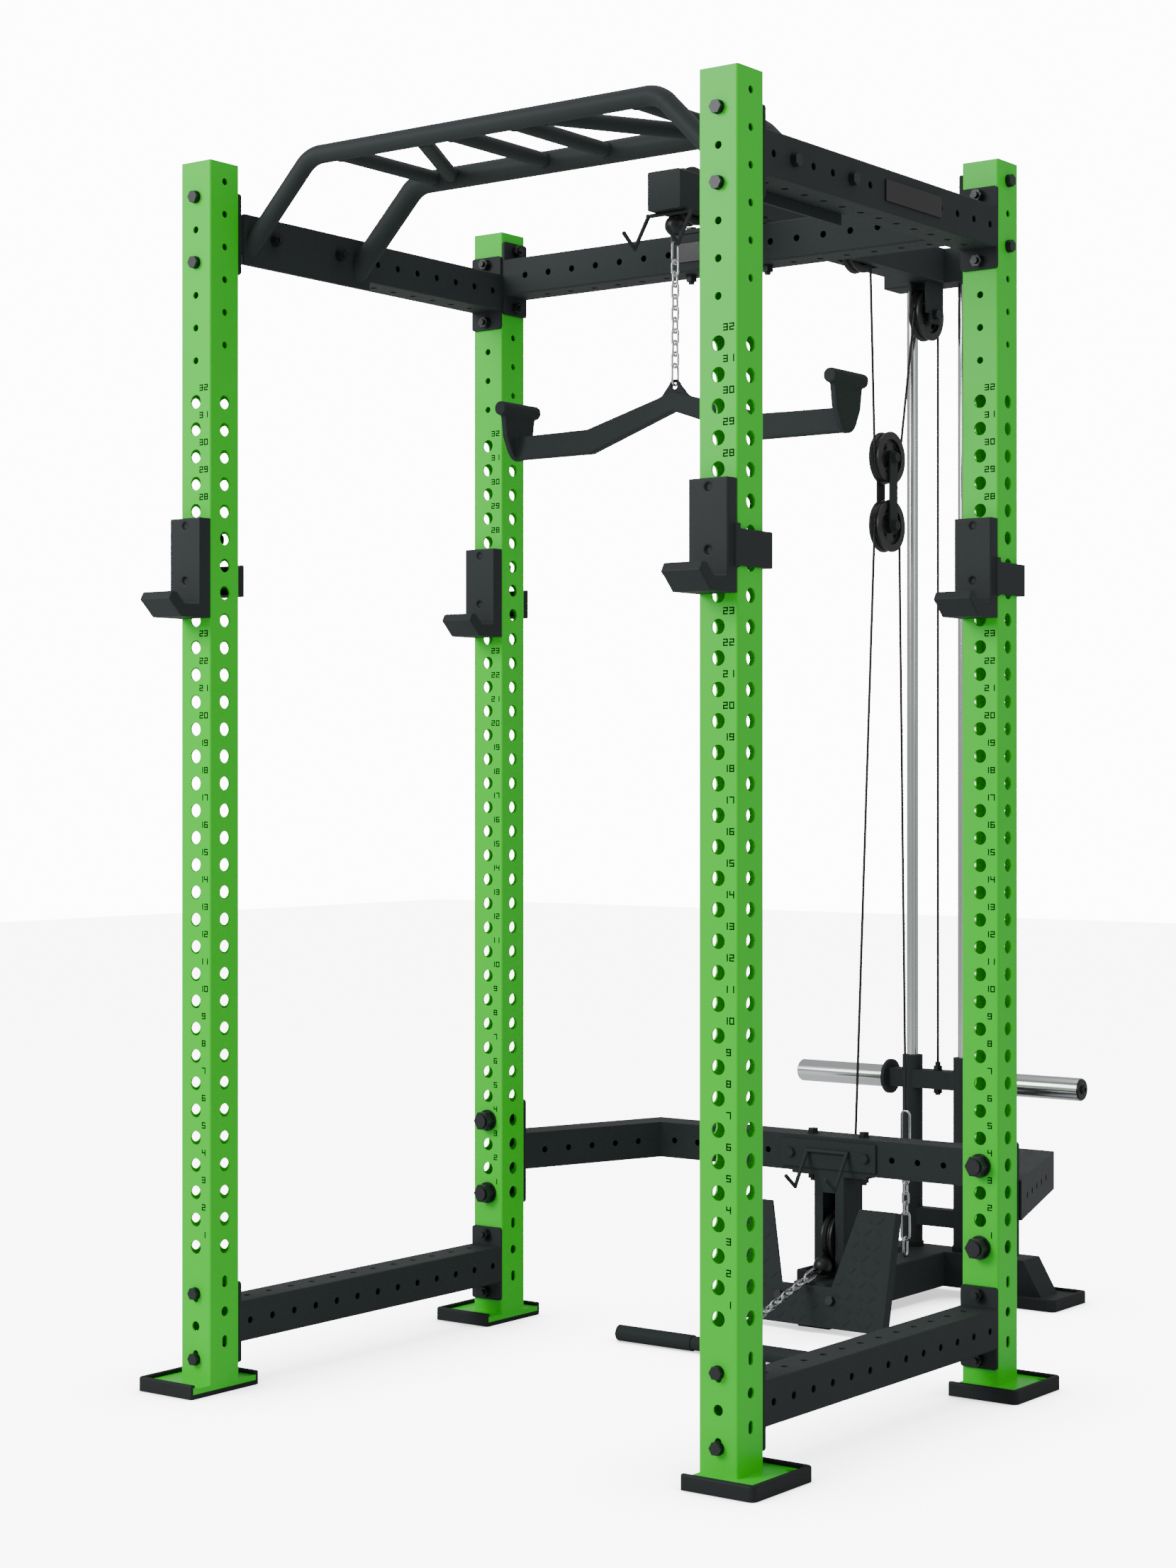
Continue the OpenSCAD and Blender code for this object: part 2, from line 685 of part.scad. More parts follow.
module base_rubber_feet() {
    color("dimgray") placed() {
        both_sides() difference() {
            translate([foot_half - foot_half_w, rod_y - foot_half_d, 0])
                cube([2 * foot_half_w, 2 * foot_half_d, tray_lip]);
            translate([foot_half - foot_half_w - 1, rod_y - foot_half_d + tray_wall, rubber_floor])
                cube([2 * foot_half_w - tray_wall + 1, 2 * (foot_half_d - tray_wall), tray_lip]);
        }
        translate([-half, stab_y - 60, 0]) cube([tube, 70, base_z]);
    }
}
cap_t = 6;
module low_column() {
    top = stab_z - half - cap_t;
    color("#2d3135") placed() difference() {
        union() {
            translate([0, stab_y + half, base_top]) box_tube(top - base_top);
            translate([-90, stab_y, top]) cube([180, tube, cap_t]);
        }
        translate([0, stab_y + half, (base_top + 12 + 270) / 2])
            cube([pulley_w + 6, tube + 2, 270 - base_top - 12], center = true);
        translate([0, low_c.x, low_c.y]) rotate([0, 90, 0]) cylinder(d = axle_d + 1, h = tube + 2, center = true);
        both_sides() translate([62, stab_y + half, top - 1]) cylinder(d = small_hole, h = cap_t + 2);
    }
}
module column_bolts() {
    color("#26292b") placed() {
        both_sides() translate([62, stab_y + half, stab_z + half]) {
            bolt(tube + cap_t + 18, bolt_d, head_w, head_h);
            translate([0, 0, -tube - cap_t]) rotate([180, 0, 0]) nut(bolt_d - 2 * run_fit - 1, head_w, 10);
        }
        on_tread() both_sides() translate([62, tread_bolt_t, tread_t]) bolt(tread_t + 16, 10, 17, 6);
    }
}
tread_t = 5;
tread_half = 190;
notch_top = 105;
notch_low = 60;
notch_t = 82;
module footplate() {
    color("#2d3135") placed() on_tread() {
        difference() {
            linear_extrude(tread_t) polygon([[-tread_half, 0], [tread_half, 0], [tread_half, tread_len],
                [notch_top, tread_len], [notch_low, notch_t], [-notch_low, notch_t],
                [-notch_top, tread_len], [-tread_half, tread_len]]);
            both_sides() translate([62, tread_bolt_t, -1]) cylinder(d = 11, h = 10);
        }
        both_sides() translate([tread_half - tread_t, 0, -20]) cube([tread_t, tread_len, 21]);
    }
}

// ---- Hooks and handles ----------------------------------------------------
module rod3(p, q, d) {
    v = q - p;
    translate(p) rotate([0, acos(v.z / norm(v)), atan2(v.y, v.x)]) cylinder(d = d, h = norm(v));
}
module knuckle(p) {
    translate(p) sphere(d = hook_d * 1.1);
}
hook_d = 8;
// Bent rod: a cross piece, then two V-shaped prongs that reach forward
module hook_rod(x, y, z) {
    rod3([-x - hook_d / 2, y, z], [x + hook_d / 2, y, z], hook_d);
    both_sides() {
        rod3([x, y - 46, z - 70], [x, y, z], hook_d);
        rod3([x, y - 46, z - 70], [x, y - 80, z - 45], hook_d);
        knuckle([x, y - 46, z - 70]);
        knuckle([x, y - 80, z - 45]);
    }
}
module bar_hook_upper() {
    color("#26292b") placed() hook_rod(50, arm_front + 21, arm_z - hook_d / 2);
}
module bar_hook_lower() {
    color("#26292b") placed() {
        hook_rod(48, stab_y - 5 - hook_d / 2 + 0.5, stab_z + 7);
        translate([-114, stab_y - 5, stab_z - 29]) cube([228, 5, 58]);
        both_sides() translate([90, stab_y - 5, stab_z]) rotate([90, 0, 0]) hex(17, 7);
    }
}
// A flat link in the XZ plane: its hole spans Z from -len to 0
module link(len, half_w) {
    rotate([90, 0, 0]) linear_extrude(wire, center = true) difference() {
        translate([0, -len / 2]) round_rect(2 * half_w + 2 * wire, len + 2 * wire, half_w + wire - 0.1);
        translate([0, -len / 2]) round_rect(2 * half_w, len, half_w - 0.1);
    }
}
link_gap = 1.7;
link_len = link_pitch + link_gap;
eye_len = 16;
snap_len = 38;
hook_len = 36;
snap_top = -ball_d / 2 + 2 - eye_len + link_gap;
chain_top = snap_top - snap_len + link_gap;
module hanging_links(count, turn) {
    for (k = [0 : count - 1]) {
        translate([0, 0, chain_top - k * link_pitch]) rotate([0, 0, 90 * ((k + turn) % 2)]) link(link_len, 4.5);
    }
}
// Hangs down from a ball's centre: snap hook, chain, lower hook
module ball_chain(count) {
    translate([0, 0, snap_top]) rotate([0, 0, 90]) link(snap_len, 7);
    hanging_links(count, 0);
    translate([0, 0, chain_top - count * link_pitch]) rotate([0, 0, 90]) link(hook_len, 7);
}
module ball_with_eye() {
    rotate_extrude() difference() {
        circle(d = ball_d);
        translate([-ball_d, -ball_d]) square([ball_d, 2 * ball_d]);
    }
    translate([0, 0, -ball_d / 2 + 2]) link(eye_len, 5);
}
module lat_ball() {
    color("#1b1c1e") placed() translate([0, lat_y, ball_z]) ball_with_eye();
}
module lat_chain() {
    color("silver") placed() translate([0, lat_y, ball_z]) ball_chain(lat_links);
}
ear_z = ball_z + chain_top - lat_links * link_pitch - hook_len - wire / 2 - 1;
paddle_x = 382;
bar_t = 20;
module lat_bar() {
    elbow = [200, -93];
    color("#26292b") placed() {
        translate([0, lat_y + bar_t / 2, ear_z]) front_plane() linear_extrude(bar_t)
            polygon([[0, -1], [elbow.x + 5, elbow.y + 24], [paddle_x, elbow.y + 22], [paddle_x, elbow.y - 24],
                [elbow.x - 3, elbow.y - 24], [0, -49], [-elbow.x + 3, elbow.y - 24], [-paddle_x, elbow.y - 24],
                [-paddle_x, elbow.y + 22], [-elbow.x - 5, elbow.y + 24]]
                - [for (k = [0 : 9]) [0, k == 0 ? 11 : 0]]);
        translate([0, lat_y + 4, ear_z]) front_plane() linear_extrude(8) difference() {
            union() {
                circle(13);
                polygon([[-11, 6], [11, 6], [34, -22], [-34, -22]]);
            }
            circle(6.5);
        }
        both_sides() translate([paddle_x - 6.5, lat_y, ear_z - 18]) {
            side_plane() linear_extrude(13) {
                polygon([[-50, 0], [50, 0], [42, -54], [26, -86], [-26, -86], [-42, -54]]);
                translate([0, -73]) circle(28);
            }
            translate([6.5, -58, 0]) rotate([-90, 0, 0]) cylinder(d = grip_d, h = 116);
        }
    }
}
row_drop = row_z - row_bar_r;
row_run = row_ball_y - row_bar_y;
row_tilt = -atan2(row_run, row_drop);
module row_frame() {
    placed() translate([0, row_ball_y, row_z]) rotate([row_tilt, 0, 0]) children();
}
module row_ball() {
    color("#1b1c1e") row_frame() ball_with_eye();
}
module row_chain() {
    color("silver") row_frame() ball_chain(row_links);
}
module row_bar() {
    eye = chain_top - row_links * link_pitch - hook_len + link_gap;
    color("#26292b") {
        placed() translate([0, row_bar_y, row_bar_r]) rotate([0, 90, 0])
            cylinder(d = grip_d, h = 2 * row_half - 4, center = true);
        row_frame() translate([0, 0, eye]) link(10, 5);
    }
}
grip_len = 180;
module row_grips() {
    color("#1b1c1e") placed() both_sides() translate([row_half - grip_len, row_bar_y, row_bar_r]) rotate([0, 90, 0])
        difference() {
            cylinder(r = row_bar_r, h = grip_len);
            translate([0, 0, -1]) cylinder(d = grip_d, h = grip_len - 1);
        }
}
module anchor_chain() {
    snap = 66;
    color("silver") placed() translate([0, anchor_c.x, anchor_c.y - wire]) {
        link(snap, 8);
        for (k = [0 : anchor_links - 1]) {
            translate([0, 0, -snap + link_gap - k * link_pitch]) rotate([0, 0, 90 * ((k + 1) % 2)]) link(link_len, 4.5);
        }
        translate([0, 0, -snap + link_gap - anchor_links * link_pitch]) link(hook_len + 20, 8);
        eye = anchor_c.y - wire - snap + link_gap - anchor_links * link_pitch - hook_len - 20 + link_gap;
        translate([0, 0, eye - anchor_c.y + wire]) rotate([0, 0, 90]) link(eye - base_top - wire - 0.3, 6);
    }
}

// ---- J-cups ---------------------------------------------------------------
// Outlines run forward (-Y) from the upright's face, in [y, z]
module cup_outline() {
    z0 = cup_pin_z - cup_drop;
    top = z0 + 182;
    polygon([[0, top], [-2 * cup_plate, top], [-2 * cup_plate, z0 + 24], [-64, z0 + 24], [-86, z0 + 45],
        [-97, z0 + 45], [-cup_lip, z0 + 31], [-73, z0], [0, z0]]);
}
module cup(face_y) {
    z0 = cup_pin_z - cup_drop;
    gap = 0.5;
    color("#26292b") placed() translate([post_x, face_y, 0]) {
        difference() {
            translate([-half, -gap, 0]) side_plane() linear_extrude(tube) cup_outline();
            for (z = [z0 + 68, z0 + 168]) {
                translate([0, -2 * cup_plate, z]) rotate([90, 0, 0]) cylinder(d = 14, h = 8, center = true);
            }
        }
        translate([half - 1, -gap - cup_plate, z0 + 40]) cube([1 + gap + 6, cup_plate, 70]);
        translate([half + gap, -gap - cup_plate, z0 + 43]) cube([6, tube + 2 * cup_plate + 4, 59]);
        translate([-half + 3, tube + 11, z0 + 43]) cube([tube + gap + 3, 6, 59]);
        translate([-half + 5, tube + gap, z0 + 46]) cube([tube - 10, 11 - gap, 53]);
        translate([0, -1, cup_pin_z]) rotate([-90, 0, 0]) cylinder(d = hole_d - 1, h = tube - 10);
    }
}

upright(-1);  // upright_front_right
mirror([1, 0, 0]) upright(-1);  // upright_front_left
upright(1);  // upright_rear_right
mirror([1, 0, 0]) upright(1);  // upright_rear_left
upright_rubber_feet();
side_beam(top_beam_z);  // side_beam_top_right
mirror([1, 0, 0]) side_beam(top_beam_z);  // side_beam_top_left
side_beam(low_beam_z);  // side_beam_low_right
mirror([1, 0, 0]) side_beam(low_beam_z);  // side_beam_low_left
rear_top_beam();
rear_stabiliser();
frame_bolts();
frame_nuts();
stabiliser_bolts();
pull_up_bar();
pull_up_bolts();
blank_badge_plates();
lat_arm();
lat_arm_bolts();
tower_pulley_bracket();
bar_hook_upper();
pulley(arm_front_c);  // pulley_arm_front
pulley(arm_rear_c);  // pulley_arm_rear
pulley(tower_c);  // pulley_tower
pulley(block_up_c);  // pulley_block_upper
pulley(block_low_c);  // pulley_block_lower
pulley(low_c);  // pulley_low
pulley_axles();
floating_block();
cable_over_arm();
cable_lat_drop();
cable_block_run();
cable_over_tower();
cable_to_carriage();
cable_low_loop();
cable_under_pulley();
cable_row_run();
anchor_chain();
guide_rods();
rod_bumpers();
weight_carriage();
weight_horns();
carriage_eye_bolt();
base_frame();
base_rubber_feet();
low_column();
footplate();
column_bolts();
bar_hook_lower();
lat_bar();
lat_chain();
lat_ball();
row_bar();
row_grips();
row_chain();
row_ball();
cup(-post_y - half);  // cup_front_right
mirror([1, 0, 0]) cup(-post_y - half);  // cup_front_left
cup(post_y - half);  // cup_rear_right
mirror([1, 0, 0]) cup(post_y - half);  // cup_rear_left
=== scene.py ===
import math

import bmesh
import bpy
import numpy as np
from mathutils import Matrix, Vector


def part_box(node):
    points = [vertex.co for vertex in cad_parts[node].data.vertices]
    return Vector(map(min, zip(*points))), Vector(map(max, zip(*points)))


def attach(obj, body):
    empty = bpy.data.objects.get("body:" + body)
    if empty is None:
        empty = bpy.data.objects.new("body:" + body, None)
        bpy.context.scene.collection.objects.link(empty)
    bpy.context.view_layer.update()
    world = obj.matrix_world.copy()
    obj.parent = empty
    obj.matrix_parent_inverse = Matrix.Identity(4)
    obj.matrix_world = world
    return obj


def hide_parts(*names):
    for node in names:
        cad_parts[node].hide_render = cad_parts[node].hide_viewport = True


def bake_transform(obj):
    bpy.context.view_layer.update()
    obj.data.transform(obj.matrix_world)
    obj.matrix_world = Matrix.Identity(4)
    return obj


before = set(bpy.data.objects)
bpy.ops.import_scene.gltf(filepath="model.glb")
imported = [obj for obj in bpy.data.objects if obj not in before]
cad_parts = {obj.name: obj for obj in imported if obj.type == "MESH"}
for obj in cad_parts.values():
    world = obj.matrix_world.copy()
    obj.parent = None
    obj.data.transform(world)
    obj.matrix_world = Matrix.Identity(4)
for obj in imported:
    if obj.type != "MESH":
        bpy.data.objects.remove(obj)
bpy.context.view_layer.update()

# ---- Studio: camera, pale floor and soft light ----------------------------------------------------
# The rack stands on a seamless white floor under broad soft boxes. The camera is level, at chest
# height off the right front corner, with a moderate lens.
camera_data = bpy.data.cameras.new("camera")
camera_data.lens = 64.69
camera_data.shift_x = 0.00043
camera_data.shift_y = -0.00216
camera = bpy.data.objects.new("camera", camera_data)
camera.location = (3.0877, -4.5538, 1.1232)
camera.rotation_euler = (math.radians(90), 0, math.radians(36.738))
bpy.context.collection.objects.link(camera)
bpy.context.scene.camera = camera


def add_mesh(name, points, faces, smooth=True):
    """A mesh object at the origin from an array of points and an array or list of faces."""
    mesh = bpy.data.meshes.new(name)
    rows = faces.tolist() if isinstance(faces, np.ndarray) else faces
    mesh.from_pydata(np.asarray(points).tolist(), [], rows)
    mesh.shade_smooth() if smooth else mesh.shade_flat()
    piece = bpy.data.objects.new(name, mesh)
    bpy.context.collection.objects.link(piece)
    return piece


def quads(rows, columns, closed_rows=False, closed_columns=False):
    """Faces of a grid of points kept row after row; a closed direction joins its last line to its first."""
    row_steps = rows if closed_rows else rows - 1
    column_steps = columns if closed_columns else columns - 1
    u, v = np.meshgrid(np.arange(row_steps), np.arange(column_steps), indexing="ij")
    un, vn = (u + 1) % rows, (v + 1) % columns
    corners = [u * columns + v, un * columns + v, un * columns + vn, u * columns + vn]
    return np.stack(corners, -1).reshape(-1, 4)


def new_material(name, colour, roughness, metallic=0.0):
    """A Principled material with its plain values on the shader's own sockets."""
    material = bpy.data.materials.new(name)
    material.use_nodes = True
    shader = material.node_tree.nodes["Principled BSDF"]
    shader.inputs["Base Color"].default_value = (*colour, 1)
    shader.inputs["Roughness"].default_value = roughness
    shader.inputs["Metallic"].default_value = metallic
    return material, shader


def lit_for_camera(tree, strength_socket, seen, given):
    """Sets a glow that is bright where the camera looks straight at it and gentle as a light."""
    path = tree.nodes.new("ShaderNodeLightPath")
    level = tree.nodes.new("ShaderNodeMapRange")
    level.inputs["To Min"].default_value = given
    level.inputs["To Max"].default_value = seen
    tree.links.new(path.outputs["Is Camera Ray"], level.inputs["Value"])
    tree.links.new(level.outputs["Result"], strength_socket)


# The floor glows white and carries a painted contact shadow: its glow darkens where something stands on it
# or close above it.
floor_material, floor_shader = new_material("studio_floor", (0.86, 0.865, 0.87), 0.32)
floor_tree = floor_material.node_tree
lit_for_camera(floor_tree, floor_shader.inputs["Emission Strength"], 8.0, 0.0)
# Painted shadow: ambient occlusion dims the floor's glow colour near the pieces, in place of their cast
# shadows.
painted_shadow_ao = floor_tree.nodes.new("ShaderNodeAmbientOcclusion")
painted_shadow_ao.inputs["Distance"].default_value = 0.30
painted_shadow_level = floor_tree.nodes.new("ShaderNodeMapRange")
painted_shadow_level.inputs["From Min"].default_value = 0.35
painted_shadow_level.inputs["To Min"].default_value = 0.12
floor_tree.links.new(painted_shadow_ao.outputs["AO"], painted_shadow_level.inputs["Value"])
floor_tree.links.new(painted_shadow_level.outputs["Result"], floor_shader.inputs["Emission Color"])
floor_grid = np.array([[-14, -12, 0], [12, -12, 0], [12, 16, 0], [-14, 16, 0]], float)
floor = add_mesh("studio_floor", floor_grid, [[0, 1, 2, 3]], smooth=False)
floor.data.materials.append(floor_material)

world = bpy.data.worlds.new("studio")
world.use_nodes = True
world.node_tree.nodes["Background"].inputs["Color"].default_value = (1, 1, 1, 1)
lit_for_camera(world.node_tree, world.node_tree.nodes["Background"].inputs["Strength"], 13.0, 0.50)
bpy.context.scene.world = world


def soft_box(name, place, aim, size, power):
    """An area light at place that faces the point aim."""
    light = bpy.data.lights.new(name, "AREA")
    light.shape = "RECTANGLE"
    light.size, light.size_y = size
    light.energy = power
    lamp = bpy.data.objects.new(name, light)
    lamp.location = place
    direction = Vector(aim) - Vector(place)
    lamp.rotation_euler = direction.to_track_quat("-Z", "Y").to_euler()
    bpy.context.collection.objects.link(lamp)


soft_box("front_soft_box", (-2.6, -5.2, 3.6), (0, 0, 1.1), (3.0, 3.0), 270)
soft_box("right_soft_box", (4.8, -0.6, 3.0), (0, 0, 1.1), (2.6, 3.2), 22)
soft_box("top_soft_box", (0, 0.4, 5.2), (0, 0, 0), (4.0, 4.0), 55)

# ---- Surface effects shared by the finishes ------------------------------------------------------
# Powder coat, nylon and rubber all show a fine grain and a faint cloudiness. Both come from object
# coordinates, so they stay fixed to the metal.


def surface_group():
    """Grain and cloud group: Grain is fine noise, Cloud is broad noise, both from 0 to 1."""
    group = bpy.data.node_groups.new("grain_and_cloud", "ShaderNodeTree")
    for label, value in (("Grain Scale", 900.0), ("Cloud Scale", 6.0)):
        socket = group.interface.new_socket(label, in_out="INPUT", socket_type="NodeSocketFloat")
        socket.default_value = value
    group.interface.new_socket("Grain", in_out="OUTPUT", socket_type="NodeSocketFloat")
    group.interface.new_socket("Cloud", in_out="OUTPUT", socket_type="NodeSocketFloat")
    nodes, links = group.nodes, group.links
    entry, leave = nodes.new("NodeGroupInput"), nodes.new("NodeGroupOutput")
    place = nodes.new("ShaderNodeTexCoord")
    for label, detail in (("Grain", 2.0), ("Cloud", 4.0)):
        noise = nodes.new("ShaderNodeTexNoise")
        noise.inputs["Detail"].default_value = detail
        links.new(place.outputs["Object"], noise.inputs["Vector"])
        links.new(entry.outputs[label + " Scale"], noise.inputs["Scale"])
        links.new(noise.outputs["Fac"], leave.inputs[label])
    return group


grain_and_cloud = surface_group()


def coated(name, dark, light, roughness, grain_scale, depth, metallic=0.0, spread=0.12, cloud=6.0,
           sheen=0.4):
    """A coated finish: its colour drifts with the cloud, and its roughness and dents follow the grain."""
    material, shader = new_material(name, light, roughness, metallic)
    shader.inputs["Specular IOR Level"].default_value = sheen
    nodes, links = material.node_tree.nodes, material.node_tree.links
    effect = nodes.new("ShaderNodeGroup")
    effect.node_tree = grain_and_cloud
    effect.inputs["Grain Scale"].default_value = grain_scale
    effect.inputs["Cloud Scale"].default_value = cloud
    mixer = nodes.new("ShaderNodeMix")
    mixer.data_type = "RGBA"
    mixer.inputs["A"].default_value = (*dark, 1)
    mixer.inputs["B"].default_value = (*light, 1)
    links.new(effect.outputs["Cloud"], mixer.inputs["Factor"])
    links.new(mixer.outputs["Result"], shader.inputs["Base Color"])
    spans = nodes.new("ShaderNodeMapRange")
    spans.inputs["To Min"].default_value = roughness - spread / 2
    spans.inputs["To Max"].default_value = roughness + spread / 2
    links.new(effect.outputs["Grain"], spans.inputs["Value"])
    links.new(spans.outputs["Result"], shader.inputs["Roughness"])
    bump = nodes.new("ShaderNodeBump")
    bump.inputs["Distance"].default_value = depth
    links.new(effect.outputs["Grain"], bump.inputs["Height"])
    links.new(bump.outputs["Normal"], shader.inputs["Normal"])
    return material


def finish(material, *nodes):
    """Gives CAD nodes their finish."""
    for name in nodes:
        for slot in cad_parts[name].material_slots:
            slot.material = material


def nodes_named(start):
    """The CAD nodes whose names begin that way."""
    return [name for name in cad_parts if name.startswith(start)]


# ---- Uprights: green powder-coated square tube ---------------------------------------------------
# Four drilled posts welded to foot plates, sprayed in a bright green satin powder with a faint
# orange peel. Hole numbers are printed beside each hole on the front faces.
green = coated("green_powder_coat", (0.026, 0.660, 0.020), (0.032, 0.740, 0.026), 0.36, 420.0, 0.00004,
               spread=0.06, cloud=3.0, sheen=0.22)
uprights = ["upright_front_right", "upright_front_left", "upright_rear_right", "upright_rear_left"]
finish(green, *uprights)

number_ink = coated("number_ink", (0.003, 0.010, 0.003), (0.005, 0.015, 0.005), 0.8, 600.0, 0.00003,
                    sheen=0.1)
digit_w, digit_h, stroke, digit_gap = 0.0092, 0.0116, 0.0021, 0.0028
hole_first, hole_pitch, hole_count = 0.268, 0.050, 32
half_tube = 0.0375
number_side, number_rise = 0.020, 0.0245
number_proud, number_root = 0.00015, 0.0005
segment_boxes = {
    "top": (0, 1, 1, 1), "middle": (0, 0.5, 1, 0.5), "bottom": (0, 0, 1, 0),
    "upper_left": (0, 0.5, 0, 1), "upper_right": (1, 0.5, 1, 1),
    "lower_left": (0, 0, 0, 0.5), "lower_right": (1, 0, 1, 0.5),
}
digit_segments = {
    "0": "top bottom upper_left upper_right lower_left lower_right", "1": "upper_right lower_right",
    "2": "top middle bottom upper_right lower_left", "3": "top middle bottom upper_right lower_right",
    "4": "middle upper_left upper_right lower_right", "5": "top middle bottom upper_left lower_right",
    "6": "top middle bottom upper_left lower_left lower_right", "7": "top upper_right lower_right",
    "8": "top middle bottom upper_left upper_right lower_left lower_right",
    "9": "top middle bottom upper_left upper_right lower_right",
}


def digit_strokes(text):
    """Rectangles (x0, z0, x1, z1) of squared numerals, centred on nought, one stroke per segment."""
    run = digit_w + digit_gap
    across, rise = digit_w - stroke, digit_h - stroke
    rows = []
    for place, digit in enumerate(text):
        left = (place - (len(text) - 1) / 2) * run - digit_w / 2
        for segment in digit_segments[digit].split():
            x0, z0, x1, z1 = segment_boxes[segment]
            rows.append((left + x0 * across, (z0 - 0.5) * rise - stroke / 2,
                         left + x1 * across + stroke, (z1 - 0.5) * rise + stroke / 2))
    return np.array(rows)


def upright_numbers(node):
    """Thin strokes on an upright's front face: each is a flat box that stands just proud of the coat."""
    low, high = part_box(node)
    centre_x = low[0] + half_tube if node.endswith("right") else high[0] - half_tube
    face_y = (low[1] + high[1]) / 2 - half_tube
    strokes = []
    for count in range(hole_count):
        rows = digit_strokes(str(count + 1))
        shift = np.array([centre_x + number_side, hole_first + count * hole_pitch + number_rise])
        strokes.append(rows + np.tile(shift, 2))
    strokes = np.concatenate(strokes)
    x0, z0, x1, z1 = strokes.T
    near, deep = face_y - number_proud, face_y + number_root
    corners = [(x0, near, z0), (x1, near, z0), (x1, near, z1), (x0, near, z1),
               (x0, deep, z0), (x1, deep, z0), (x1, deep, z1), (x0, deep, z1)]
    points = np.stack([np.stack(np.broadcast_arrays(*corner), -1) for corner in corners], 1)
    sides = np.array([[0, 1, 2, 3], [5, 4, 7, 6], [1, 5, 6, 2], [4, 0, 3, 7], [3, 2, 6, 7], [4, 5, 1, 0]])
    faces = (sides[None] + 8 * np.arange(len(strokes))[:, None, None]).reshape(-1, 4)
    piece = add_mesh("numbers_" + node, points.reshape(-1, 3), faces, smooth=False)
    piece.data.materials.append(number_ink)
    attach(piece, "root")


for upright in uprights:
    upright_numbers(upright)

# ---- Black steelwork -----------------------------------------------------------------------------
# Beams, stabiliser, pull-up bar, arm, column and base are welded steel with a fine-textured matt
# charcoal powder coat.
charcoal = coated("charcoal_powder_coat", (0.0270, 0.0325, 0.0340), (0.0340, 0.0400, 0.0420), 0.58,
                  1500.0, 0.00010, sheen=0.12)
steelwork = nodes_named("side_beam") + nodes_named("bar_hook") + [
    "rear_top_beam", "rear_stabiliser", "pull_up_bar", "lat_arm", "tower_pulley_bracket", "base_frame",
    "low_column", "footplate", "weight_carriage", "floating_block"]
finish(charcoal, *steelwork)

# ---- Pull-up bar tubes ---------------------------------------------------------------------------
# The bar is two bent tubes with six straight cross grips, all welded, with fillet beads where a grip
# meets a tube. The beads lie on the seams of the CAD tubes.
bar_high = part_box("pull_up_bar")[1]
bar_front_r, bar_rear_r, grip_r = 0.017, 0.021, 0.014
bar_rear_inset, bar_spacing, bend_proud, bead_r = 0.028, 0.300, 0.0002, 0.0017
bar_rear_y = bar_high[1] - bar_rear_inset
bar_front_y = bar_rear_y - bar_spacing
bar_level = bar_high[2] - bar_rear_r - bend_proud


def weld_bead(name, centre, axis, radius, bead, ripples=46):
    """A weld fillet: a ring of small radius round a joint, whose centre line swells in even ripples."""
    turn = np.linspace(0, 2 * np.pi, 4 * ripples, endpoint=False)
    sides = 8
    ring = np.linspace(0, 2 * np.pi, sides, endpoint=False)
    axis = np.array(axis, float) / np.linalg.norm(axis)
    side = np.cross(axis, [0, 0, 1.0] if abs(axis[2]) < 0.9 else [1.0, 0, 0])
    side /= np.linalg.norm(side)
    other = np.cross(axis, side)
    swell = bead * (1 + 0.18 * np.cos(ripples * turn))[:, None, None]
    out = np.cos(turn)[:, None] * side + np.sin(turn)[:, None] * other
    middle = np.array(centre) + radius * out
    points = (middle[:, None] + swell * (np.cos(ring)[None, :, None] * out[:, None]
              + np.sin(ring)[None, :, None] * axis))
    piece = add_mesh(name, points.reshape(-1, 3), quads(len(turn), sides, True, True))
    piece.data.materials.append(charcoal)
    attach(piece, "root")


for label, x_front, x_rear in (("inner", 0.070, 0.070), ("outer", 0.330, 0.330), ("slant", 0.130, 0.300)):
    for hand, sign in (("right", 1), ("left", -1)):
        front = np.array([sign * x_front, bar_front_y, bar_level])
        rear = np.array([sign * x_rear, bar_rear_y, bar_level])
        heading = (rear - front) / np.linalg.norm(rear - front)
        lean = abs(heading[1])
        front_seam = front + heading * bar_front_r / lean
        rear_seam = rear - heading * bar_rear_r / lean
        weld_bead(f"weld_{label}_{hand}_front", front_seam, heading, grip_r, bead_r)
        weld_bead(f"weld_{label}_{hand}_rear", rear_seam, heading, grip_r, bead_r)

# ---- Footplate tread -----------------------------------------------------------------------------
# The footplate is folded tread plate: rolled, lens-shaped lugs, each turned the other way from its
# neighbours, left clear of the edges, the notch and the two bolts.
tread_tilt = math.radians(12.5)
tread_up = np.array([0, math.sin(tread_tilt), math.cos(tread_tilt)])
tread_out = np.array([0, -math.cos(tread_tilt), math.sin(tread_tilt)])
tread_t = 0.005
tread_foot = np.array([0, 0.3185, 0.012]) + tread_t * tread_out
lug_pitch, lug_start, lug_half, lug_half_w, lug_h = 0.0262, 0.016, 0.0125, 0.0034, 0.0014
lug_side_limit, lug_top_limit, notch_margin = 0.178, 0.233, 0.011
notch_floor, notch_low_x, notch_top_x, plate_len = 0.082, 0.060, 0.105, 0.245
bolt_x, bolt_up, bolt_room = 0.062, 0.055, 0.014


